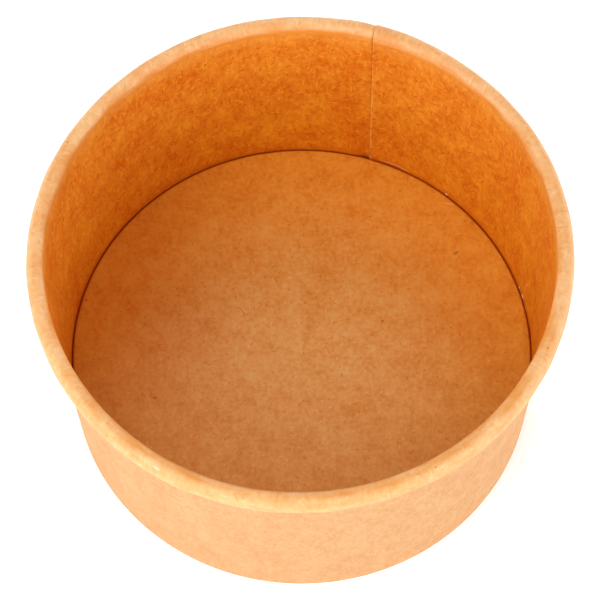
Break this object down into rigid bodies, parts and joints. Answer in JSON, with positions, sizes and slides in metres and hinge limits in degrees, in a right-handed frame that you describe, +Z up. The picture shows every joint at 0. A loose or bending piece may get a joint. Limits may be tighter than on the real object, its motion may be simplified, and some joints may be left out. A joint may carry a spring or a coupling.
{
  "type": "paper ice cream tub",
  "caption": "Open round paper tub with a rolled rim, a lapped side seam and a recessed bottom disc, for a portion of ice cream or another cold dessert.",
  "frame": {"origin": "centre of the foot, on the surface that the tub stands on", "axes": "+Z up along the tub's axis; the side seam's cut edge, seen inside the wall, lies 17 degrees from +Y towards +X"},
  "size_m": [0.092, 0.092, 0.0485],
  "materials": {
    "wall_board": "matte",
    "floor_board": "matte"
  },
  "bodies": {
    "root": {"sidewall": "wall_board", "bottom_disc": "floor_board"}
  },
  "joints": []
}
